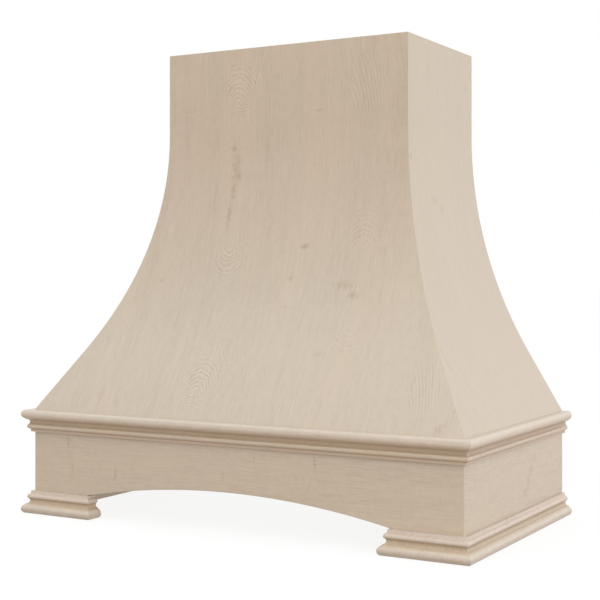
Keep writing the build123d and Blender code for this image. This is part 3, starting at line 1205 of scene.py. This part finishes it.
@dataclass
class Band:
    """The boards of the band, mitred at the front corners.

    Args:
        cover: The cover's main sizes.
        thickness: The boards' thickness.
        foot_length: Width of the foot at each end of the arch.
        arch_spring: Height where the arch starts.
        arch_top: Height of its crown.
        arch_steps: Straight steps in half the arch.
        eased: How far the boards' edges are rounded over.
        arris: How deep the front corners' arris is sanded off.
    """

    cover: Cover
    thickness: float = 0.75 * INCH
    foot_length: float = 5.2 * INCH
    arch_spring: float = 1.7 * INCH
    arch_top: float = 3 * INCH
    arch_steps: int = 32
    eased: float = 1.5 * MM
    arris: float = 1.1 * MM

    front_wood: Maple = Maple(
        "flat_sawn_maple_board",
        light="#D9C9B3", body="#C2B09A", dark="#98836C", contrast=1.3, curl=0.10, figure_strength=0.06,
        figures=(
            Figure(148, -210, 26, 60, (-40, -60), 0.5, 11, 0.6),
            Figure(140, 14, 28, 80, (10, 90), 0.3, 16, 0.6),
            Figure(110, 160, 34, 70, (0, -70), 0.4, 14, 0.7),
        ),
        marks=(
            Mark(144, -371, 15, 3.0, 0.30),
            Mark(92, -361, 17, 2.8, 0.22),
            Mark(90, -257, 16, 3.2, 0.32),
            Mark(143, 54, 11, 3.0, 0.24),
            Mark(145, 178, 15, 3.2, 0.42),
            Mark(104, -14, 10, 3.0, 0.18),
            Mark(86, 295, 12, 3.0, 0.12),
            Mark(96, 414, 10, 2.6, 0.14),
        ),
    )
    # Painted sheen: the side boards' colours are a little paler and bluer than the front board's, for the
    # light that the lit side reflects.
    side_wood: Maple = Maple(
        "flat_sawn_maple_side_board",
        light="#DBCCB7", body="#C4B39E", dark="#9A866F", contrast=1.3, curl=0.10,
        marks=(
            Mark(92, 978, 19, 9, 0.32, 0.3),
            Mark(112, 992, 10, 9, 0.36),
            Mark(74, 962, 10, 12, 0.30),
            Mark(130, 1010, 12, 14, 0.14),
        ),
    )

    @property
    def foot_x(self) -> float:
        """Half the arch's width."""
        return self.cover.half_width - self.foot_length

    def corner(self, side: Side) -> Plane:
        """The upright plane that a front corner's arris is sanded off to.

        Args:
            side: The corner's side.

        Returns:
            A point of the plane, and its normal outwards.
        """
        outwards = Vector((side.value, -1, 0)).normalized()
        return self.cover.hip(side)[0] - outwards * self.arris, outwards

    def front(self) -> Piece:
        """Makes the arched front board.

        Its right half is drawn first: the foot, the arch spun from the foot's corner, and the board above it.

        Returns:
            The finished board.
        """
        cover = self.cover
        y, top = cover.front_y, cover.band_top
        spring = Vector((self.foot_x, y, self.arch_spring))
        size = (self.foot_length, top - self.arch_spring)
        centre = spring + Vector((size[0] / 2, 0, size[1] / 2))
        bench = Bench("maple_front_board", centre, RIGHT, UP, size)
        bench.pick_beyond(centre, -UP)
        bench.pull(Vector((0, 0, -self.arch_spring)))
        rise = self.arch_top - self.arch_spring
        radius = (self.foot_x ** 2 + rise ** 2) / (2 * rise)
        arch_centre = Vector((0, y, self.arch_top - radius))
        bench.pick(lambda place: (place - spring).length < NEAR)
        bench.turn(arch_centre, BACK, -math.asin(self.foot_x / radius), self.arch_steps)
        low, high = self.arch_spring - NEAR, self.arch_top + NEAR
        bench.pick(lambda place: place.x < self.foot_x + NEAR and low < place.z < high)
        bench.pull(UP * size[1])
        bench.saw(Vector((0, 0, top)), UP, cap=False)
        bench.face(-BACK)
        bench.apply("MIRROR", use_axis=(True, False, False), use_clip=True, merge_threshold=NEAR)
        bench.face(-BACK)
        bench.thicken(self.thickness)
        bench.ease(self.eased)
        for side in Side:
            bench.saw(*cover.hip(side))
            bench.saw(*self.corner(side))
        piece = bench.done()
        lay_grain(piece, lambda point: (point.z, point.y - y, point.x))
        return piece

    def side(self, side: Side) -> Piece:
        """Makes a side board.

        Args:
            side: Its side.

        Returns:
            The finished board.
        """
        cover = self.cover
        x = cover.half_width
        centre = Vector((side.value * x, (cover.wall_y + cover.front_y) / 2, cover.band_top / 2))
        size = (cover.wall_y - cover.front_y, cover.band_top)
        bench = Bench(f"maple_{side.label}_board", centre, Vector((0, side.value, 0)), UP, size)
        bench.face(RIGHT * side.value)
        bench.thicken(self.thickness)
        bench.ease(self.eased)
        point, away = cover.hip(side)
        bench.saw(point, -away)
        bench.saw(*self.corner(side))
        piece = bench.done()
        lay_grain(piece, lambda point: (point.z, x - side.value * point.x, 2.0 * x + point.y))
        return piece

    def build(self) -> None:
        """Makes the three boards."""
        finish = self.front_wood.material()
        dress(self.front(), ["front_band_board"], [finish, finish])
        finish = self.side_wood.material()
        for side in Side:
            dress(self.side(side), [f"{side.label}_side_band_board"], [finish, finish])


# ---- Mouldings: the chair rail and the base moulding, from one profile ----


def arc_through(first: Vector, middle: Vector, last: Vector) -> tuple[Vector, float]:
    """Finds the arc through three points of a plane.

    Args:
        first: The point that it starts from.
        middle: A point on its way.
        last: The point that it ends at.

    Returns:
        Its centre, and the angle that it turns through from the first axis towards the second.
    """
    chord, other = middle - first, last - first
    double_area = 2 * (chord.x * other.y - chord.y * other.x)
    out_x = (other.y * chord.length_squared - chord.y * other.length_squared) / double_area
    out_y = (chord.x * other.length_squared - other.x * chord.length_squared) / double_area
    centre = first + Vector((out_x, out_y))
    turned = (first - centre).angle_signed(last - centre)
    angle = -turned if turned * double_area < 0 else -turned + math.copysign(2 * math.pi, turned)
    return centre, angle


@dataclass(frozen=True)
class Length:
    """One length of moulding.

    Args:
        name: Its piece's name.
        node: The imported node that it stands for.
        start: One end of its nose's back edge.
        end: The other end.
        outwards: Direction that it stands out in.
        nose: Which way its nose is turned.
        cuts: For each mitre a point of its plane and the direction of what is sawn off.
    """

    name: str
    node: str
    start: Vector
    end: Vector
    outwards: Vector
    nose: Nose
    cuts: list[Plane]


@dataclass
class Mouldings:
    """The lengths of moulding round the band: nose up at its top, and nose down round its feet.

    The profile is given as how far it stands out and how far it is from the nose's end.

    Args:
        cover: The cover's main sizes.
        foot_x: Half the arch's width.
        board_thickness: Thickness of the boards, which the returns cover.
        projection: How far the nose stands out.
        height: The moulding's height.
        nose_flat: Width of the flat end of the nose.
        nose_height: Height of the round nose.
        cove: Start and floor of the cove.
        bead: Start, crown and end of the bead.
        fillet: Where the last flat strip starts.
        arc_steps: Straight steps in the nose. The cove and the bead have half as many.
        eased: How far the arrises are rounded over.
    """

    cover: Cover
    foot_x: float
    board_thickness: float
    projection: float = 0.75 * INCH
    height: float = 1.7 * INCH
    nose_flat: float = 0.55 * INCH
    nose_height: float = 16.4 * MM
    cove: tuple[Vector, Vector] = (Vector((11.4, 18.6)) * MM, Vector((6.4, 24.0)) * MM)
    bead: tuple[Vector, Vector, Vector] = (
        Vector((9.3, 29.0)) * MM, Vector((10.5, 32.3)) * MM, Vector((8.2, 36.6)) * MM
    )
    fillet: Vector = Vector((5.2, 38.4)) * MM
    arc_steps: int = 20
    eased: float = 0.35 * MM

    rail_wood: Maple = Maple(
        "moulded_maple_rail",
        light="#DDD0C0", body="#CBBBAB", dark="#A3907A", fibre=1.2, curl=0.20,
        # Painted shade and highlight down the rail's profile: darker and browner under the nose, in the cove
        # and in the groove under the bead.
        painted_profile_shade=(
            (0, "#FAFFFF"), (1.5, "#FAFFFF"), (6, "#FBFEFD"), (9, "#FFFCF9"), (12, "#F9F1E7"),
            (15.5, "#F8ECE0"), (18.6, "#EDDFCC"), (23, "#E0D2BD"), (27.5, "#D3C5B2"), (29.3, "#EAE4D8"),
            (31, "#F8F3E8"), (35, "#F1EADD"), (37.2, "#E2D2BC"), (38.6, "#E9DACA"), (40, "#ECE1D3"),
            (43.2, "#ECE1D3"),
        ),
    )
    # Painted light: the base's colours are paler and bluer than the rail's, for the feet catch more light
    # from above.
    base_wood: Maple = Maple(
        "moulded_maple_base",
        light="#E0D3C7", body="#CEBFB1", dark="#A28E78", fibre=1.2, curl=0.34,
        # Painted shade and highlight down the base's profile: browner in the cove, palest on the bead and
        # fillet, which face up into the light.
        painted_profile_shade=(
            (0, "#F1E9DE"), (1.5, "#EEE6D9"), (4, "#E9E4D9"), (8, "#F0EAE4"), (12, "#F8FAF7"),
            (15.5, "#F9FBF3"), (18.6, "#EDE5D5"), (23, "#E7DDCA"), (27.5, "#DFD3BB"), (29.3, "#E6DDCA"),
            (31, "#F9F5ED"), (35, "#FFFFFF"), (37.2, "#F5EFE5"), (38.6, "#FCFAF8"), (40, "#FFFFFF"),
            (43.2, "#FFFFFF"),
        ),
    )

    def shape(self, length: Length) -> Bench:
        """Moulds one length, square at its ends.

        Args:
            length: The length to mould.

        Returns:
            The bench with the length on it.
        """
        start, end, outwards = length.start, length.end, length.outwards
        down = UP * -length.nose.value

        def at(point: Vector) -> Vector:
            """The place of a point of the profile, in the middle of the length."""
            return (start + end) / 2 + outwards * point.x + down * point.y

        flat = Vector((self.nose_flat, 0))
        size = ((end - start).length, self.nose_flat)
        bench = Bench(length.name, at(flat / 2), (end - start).normalized(), outwards, size)
        bench.pick_beyond(at(flat / 2), outwards)
        crown = Vector((self.projection, self.nose_height / 2))
        nose_end = Vector((self.nose_flat, self.nose_height))
        here = flat
        for first, middle, last, steps in (
            (flat, crown, nose_end, self.arc_steps),
            (*self.cove, self.bead[0], self.arc_steps // 2),
            (*self.bead, self.arc_steps // 2),
        ):
            if first != here:
                bench.pull(at(first) - at(here))
            centre, angle = arc_through(first, middle, last)
            bench.turn(at(centre), outwards.cross(down), angle, steps)
            here = last
        bench.pull(at(self.fillet) - at(here))
        bench.pull(down * (self.height - self.fillet.y))
        bench.pull(outwards * -self.fillet.x)
        bench.pull(down * -self.height)
        bench.close()
        bench.ease(self.eased)
        return bench

    def make(self, length: Length, material: Material) -> None:
        """Moulds one length, mitres it and dresses it.

        Args:
            length: The length to make.
            material: Its finish.
        """
        bench = self.shape(length)
        for point, away in length.cuts:
            bench.saw(point, away)
        piece = bench.done()
        grain = (length.end - length.start).normalized()
        side, level, sign = grain.cross(UP), length.start.z, length.nose.value
        lay_grain(piece, lambda point: (
            (level - point.z) * sign, point.dot(side), point.dot(grain) + point.dot(side)
        ))
        dress(piece, [length.node], [material])

    def lengths(self) -> Iterator[Length]:
        """Lists the chair rail's three lengths, and each foot's side, front and return lengths.

        Yields:
            Each length in turn.
        """
        cover = self.cover
        top, front = UP * cover.band_top, BACK * cover.front_y
        nose_x, nose_y = cover.half_width + self.projection, cover.front_y - self.projection
        yield Length(
            "chair_rail_front", "front_chair_rail", front + top - RIGHT * nose_x,
            front + top + RIGHT * nose_x, -BACK, Nose.UP, [cover.hip(side) for side in Side],
        )
        for side in Side:
            label, outwards = side.label, RIGHT * side.value
            corner, away = cover.hip(side)
            wall_side = outwards * cover.half_width
            for name, level, nose in (("chair_rail", top, Nose.UP), ("base_moulding", top * 0, Nose.DOWN)):
                yield Length(
                    f"{name}_{label}", f"{label}_{name}", wall_side + BACK * nose_y + level,
                    wall_side + BACK * cover.wall_y + level, outwards, nose, [(corner, -away)],
                )
            foot = front + outwards * self.foot_x
            foot_away = (BACK - outwards).normalized()
            yield Length(
                f"base_foot_{label}", f"{label}_front_base_foot", foot - outwards * self.projection,
                front + outwards * nose_x, -BACK, Nose.DOWN, [(corner, away), (foot, foot_away)],
            )
            yield Length(
                f"base_return_{label}", f"{label}_base_return", foot - BACK * self.projection,
                foot + BACK * self.board_thickness, -outwards, Nose.DOWN, [(foot, -foot_away)],
            )

    def build(self) -> None:
        """Makes every length, the rails and the base from strips of their own."""
        finishes = {Nose.UP: self.rail_wood.material(), Nose.DOWN: self.base_wood.material()}
        for length in self.lengths():
            self.make(length, finishes[length.nose])


# ---- Screws: what holds the ledges, the rib feet and the rib tops ----


@dataclass
class Screws:
    """Countersunk wood screws with a cross recess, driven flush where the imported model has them.

    Args:
        nodes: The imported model's objects by name.
        length: A screw's length.
        head_radius: Radius of the head.
        rim: Height of the head's upright rim.
        head_depth: Depth of the head's cone.
        shank_radius: Radius of the plain shank and of the thread's crest.
        root_radius: Radius of the thread's root.
        plain: Depth where the thread starts.
        pitch: The thread's pitch.
        point: Length of the point.
        tip_radius: Radius of its blunt tip.
        arm: Half the recess's width.
        slot: Width of one of its arms.
        recess: Depth of the recess.
        taper: Size of the recess's floor as a share of its mouth.
        sides: Number of sides, few because the screws are small.
        apart: The least distance between two screws.
        twist: How much further each screw is turned than the last.
    """

    nodes: dict[str, Piece]
    length: float = 1.25 * INCH
    head_radius: float = 3.9 * MM
    rim: float = 0.3 * MM
    head_depth: float = 2.3 * MM
    shank_radius: float = 1.9 * MM
    root_radius: float = 1.4 * MM
    plain: float = 10 * MM
    pitch: float = 1.9 * MM
    point: float = 4 * MM
    tip_radius: float = 0.2 * MM
    arm: float = 2.2 * MM
    slot: float = 1.0 * MM
    recess: float = 1.8 * MM
    taper: float = 0.35
    sides: int = 16
    apart: float = 40 * MM
    twist: float = 0.8

    def punch(self) -> Piece:
        """Makes the tapered cross that the recess is punched with.

        Returns:
            The punch, a little above the head's face.
        """
        above, half = 0.2 * MM, self.slot / 2
        bench = Bench("recess_punch", UP * above, RIGHT, BACK, (self.slot, self.slot))
        for out, aside in ((RIGHT, BACK), (-RIGHT, BACK), (BACK, RIGHT), (-BACK, RIGHT)):
            bench.pick(lambda place: place.dot(out) > half - NEAR and abs(place.dot(aside)) < half + NEAR)
            bench.pull(out * (self.arm - half))
        bpy.ops.mesh.select_all(action="SELECT")
        bench.pull(UP * -(self.recess + above))
        floor = (self.taper, self.taper, 1)
        bpy.ops.transform.resize(value=floor, center_override=UP * -self.recess)
        bench.close()
        return bench.done()

    def rings(self) -> Iterator[tuple[float, float]]:
        """Lists the screw's rings below its face.

        Yields:
            Each ring's depth and radius.
        """
        yield self.rim, self.head_radius
        yield self.head_depth, self.shank_radius
        yield self.plain, self.shank_radius
        turns = round((self.length - self.point - self.plain) / self.pitch)
        for turn in range(turns):
            for share, radius in ((0.3, self.root_radius), (0.7, self.root_radius), (1, self.shank_radius)):
                yield self.plain + (turn + share) * self.pitch, radius
        yield self.length, self.tip_radius

    def screw(self) -> Piece:
        """Makes one screw, with its face at the origin and its point below.

        Returns:
            The finished screw.
        """
        punch = self.punch()
        bench = Bench("wood_screw", Vector(), RIGHT, BACK, (1 * MM, 1 * MM))
        bpy.ops.mesh.delete(type="FACE")
        bpy.ops.mesh.select_all(action="SELECT")
        bpy.ops.mesh.delete(type="VERT")
        bpy.ops.mesh.primitive_circle_add(vertices=self.sides, radius=self.head_radius, fill_type="NGON")
        depth, radius = 0.0, self.head_radius
        for next_depth, next_radius in self.rings():
            bench.pull(UP * (depth - next_depth))
            ratio = next_radius / radius
            bpy.ops.transform.resize(value=(ratio, ratio, 1), center_override=UP * -next_depth)
            depth, radius = next_depth, next_radius
        bench.close()
        bench.apply("BOOLEAN", operation="DIFFERENCE", object=punch, solver="EXACT")
        bpy.data.objects.remove(punch)
        return bench.done()

    def places(self, node: Piece) -> list[Plane]:
        """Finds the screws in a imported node.

        Args:
            node: The node, whose screws lie square to the axes and well apart.

        Returns:
            Each screw's head and the direction that it is driven in.
        """
        groups: list[list[Vector]] = []
        for point in (vert.co.copy() for vert in node.data.vertices):
            near = next((group for group in groups if (group[0] - point).length < self.apart), [])
            if not near:
                groups.append(near)
            near.append(point)
        found = []
        for group in groups:
            low, high = (Vector(tuple(map(pick, zip(*group)))) for pick in (min, max))
            head, size = (low + high) / 2, high - low
            axis = max(range(3), key=lambda index: size[index])
            into = Vector((0, 0, 0))
            into[axis] = 1
            widest = max(group, key=lambda point: (point - head).cross(into).length)
            into[axis] = -1 if widest[axis] > head[axis] else 1
            head[axis] = widest[axis]
            found.append((head, into))
        return found

    def build(self) -> None:
        """Drives every screw, each turned a little further than the last."""
        finish = ZincSteel("yellow_zinc_steel").material()
        screw = self.screw()
        for name in ("ledge_screws", "rib_foot_screws", "top_frame_screws"):
            bpy.ops.object.select_all(action="DESELECT")
            for index, (head, into) in enumerate(self.places(self.nodes[name])):
                copy = bpy.data.objects.new(f"cross_recess_{name}", screw.data.copy())
                driven = into.to_track_quat("-Z", "Y").to_matrix().to_4x4()
                copy.data.transform(
                    Matrix.Translation(head) @ (driven @ Matrix.Rotation(self.twist * index, 4, "Z"))
                )
                bpy.context.scene.collection.objects.link(copy)
                copy.select_set(True)
                bpy.context.view_layer.objects.active = copy
            bpy.ops.object.join()
            dress(bpy.context.object, [name], [finish])
        bpy.data.objects.remove(screw)


# ---- Framework: what the skins and boards are built on ----


def both(*names: str) -> list[str]:
    """The right and left nodes of some pieces."""
    return [f"{side.label}_{name}" for side in Side for name in names]


@dataclass
class Framework:
    """The ribs, rails, ledges and blocks inside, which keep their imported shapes, and the screws in them.

    Args:
        nodes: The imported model's objects by name.
    """

    nodes: dict[str, Piece]

    def paint(self, names: Sequence[str], finish: Finish) -> None:
        """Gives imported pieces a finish.

        Args:
            names: The pieces' node names.
            finish: Their finish.
        """
        material = finish.material()
        for name in names:
            for material_slot in self.nodes[name].material_slots:
                material_slot.material = material
        log.info("%s: %s", finish.name, ", ".join(names))

    def build(self) -> None:
        """Finishes every piece of the frame."""
        x, y, z = (1, 0, 0), (0, 1, 0), (0, 0, 1)
        slant = math.sqrt(0.5)
        self.paint(both("front_rib"), Plywood("plywood_facing_x", x, z))
        self.paint(both("side_rib", "rear_former"), Plywood("plywood_facing_y", y, z))
        for side in Side:
            normal = (side.value * slant, slant, 0)
            self.paint([f"{side.label}_hip_rib"], Plywood(f"plywood_{side.label}_hip", normal, z))
        self.paint(["rear_base_rail", "hanging_rail"], Plywood("plywood_wall_rails", y, x))
        flat_rails = ["base_front_rail", "top_front_rail", "top_rear_rail"]
        self.paint(flat_rails, Plywood("plywood_flat_rails", z, x))
        self.paint(both("base_side_rail", "top_side_rail"), Plywood("plywood_flat_side_rails", z, y))
        self.paint(["front_ledge", "rear_ledge"], Pine("pine_across", x))
        self.paint(both("side_ledge"), Pine("pine_front_to_back", y))
        self.paint(both("front_glue_block", "rear_glue_block"), Pine("pine_upright", z))
        Screws(self.nodes).build()


# ---- Studio: floor, light and camera ----


@dataclass
class Studio:
    """A pale floor, soft lamps and the camera, which stands where the photograph was taken from.

    Args:
        focal_px: Focal length in pixels of the picture.
        centre_px: Where the camera's axis meets the picture.
        picture_px: The picture's width and height.
        sensor_mm: Width of the camera's sensor, in mm.
        position: The camera's place.
        turn: How far the camera is turned to the left of straight ahead.
        aim: The point that the lamps are turned to.
    """

    focal_px: float = 1278.93
    centre_px: tuple[float, float] = (305.5, 275.17)
    picture_px: float = 600
    sensor_mm: float = 36
    position: Triple = (1.2619, -2.1714, 0.4688)
    turn: float = math.radians(29.691)
    aim: Vector = Vector((0, 0, 0.45))

    def camera(self) -> None:
        """Sets up the camera, level and with the photograph's framing."""
        lens = bpy.data.cameras.new("camera")
        lens.sensor_width = self.sensor_mm
        lens.lens = self.focal_px / self.picture_px * self.sensor_mm
        lens.shift_x = (self.picture_px / 2 - self.centre_px[0]) / self.picture_px
        lens.shift_y = (self.centre_px[1] - self.picture_px / 2) / self.picture_px
        camera = bpy.data.objects.new("camera", lens)
        camera.location = self.position
        camera.rotation_euler = (math.pi / 2, 0, self.turn)
        bpy.context.scene.collection.objects.link(camera)
        bpy.context.scene.camera = camera

    def lamp(self, name: str, place: Triple, size: tuple[float, float], watts: float) -> None:
        """Hangs a soft white lamp, turned to the cover.

        Args:
            name: The lamp's name.
            place: Its place.
            size: Its width and height.
            watts: Its power.
        """
        light = bpy.data.lights.new(name, "AREA")
        light.shape = "RECTANGLE"
        light.size, light.size_y = size
        light.energy = watts
        lamp = bpy.data.objects.new(name, light)
        lamp.location = place
        lamp.rotation_euler = (self.aim - lamp.location).to_track_quat("-Z", "Y").to_euler()
        lamp.visible_camera = False
        bpy.context.scene.collection.objects.link(lamp)

    def surroundings(self) -> None:
        """Makes the room plain white, so that most of the light is soft and comes from all round."""
        world = bpy.data.worlds.new("white_studio")
        bpy.context.scene.world = world
        world.use_nodes = True
        graph = Graph(world.node_tree)
        graph.add("OutputWorld", {"Surface": graph.add("Background", {"Color": WHITE, "Strength": 1.0})})

    def floor(self) -> None:
        """Lays the floor under the cover."""
        bpy.ops.object.select_all(action="DESELECT")
        bpy.ops.mesh.primitive_plane_add(size=60)
        floor = bpy.context.object
        floor.name = floor.data.name = "studio_floor"
        floor.data.materials.append(LitSheet("lit_grey_sheet").material())

    def build(self) -> None:
        """Sets up the whole studio."""
        self.camera()
        self.surroundings()
        self.floor()
        self.lamp("high_left_softbox", (-1.85, -1.7, 3.1), (3.2, 1.3), 14)
        self.lamp("overhead_softbox", (0.2, -0.5, 3.2), (2.4, 2.4), 14)
        self.lamp("right_softbox", (3.0, -1.5, 0.9), (2.0, 1.6), 29)
        self.lamp("rear_right_softbox", (1.5, 2.8, 0.9), (2.0, 1.7), 4.5)
        bpy.context.scene.view_settings.view_transform = "Standard"


def main() -> None:
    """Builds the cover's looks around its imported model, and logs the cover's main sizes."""
    logging.basicConfig(level=logging.INFO, format="%(name)s: %(message)s")
    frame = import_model()
    cover = Cover.from_frame()
    log.info("cover: %s", cover)
    Shell(cover, FlareLine(cover.band_top)).build()
    band = Band(cover)
    band.build()
    Mouldings(cover, band.foot_x, band.thickness).build()
    Framework(frame["nodes"]).build()
    Studio().build()


if __name__ == "__main__":
    main()
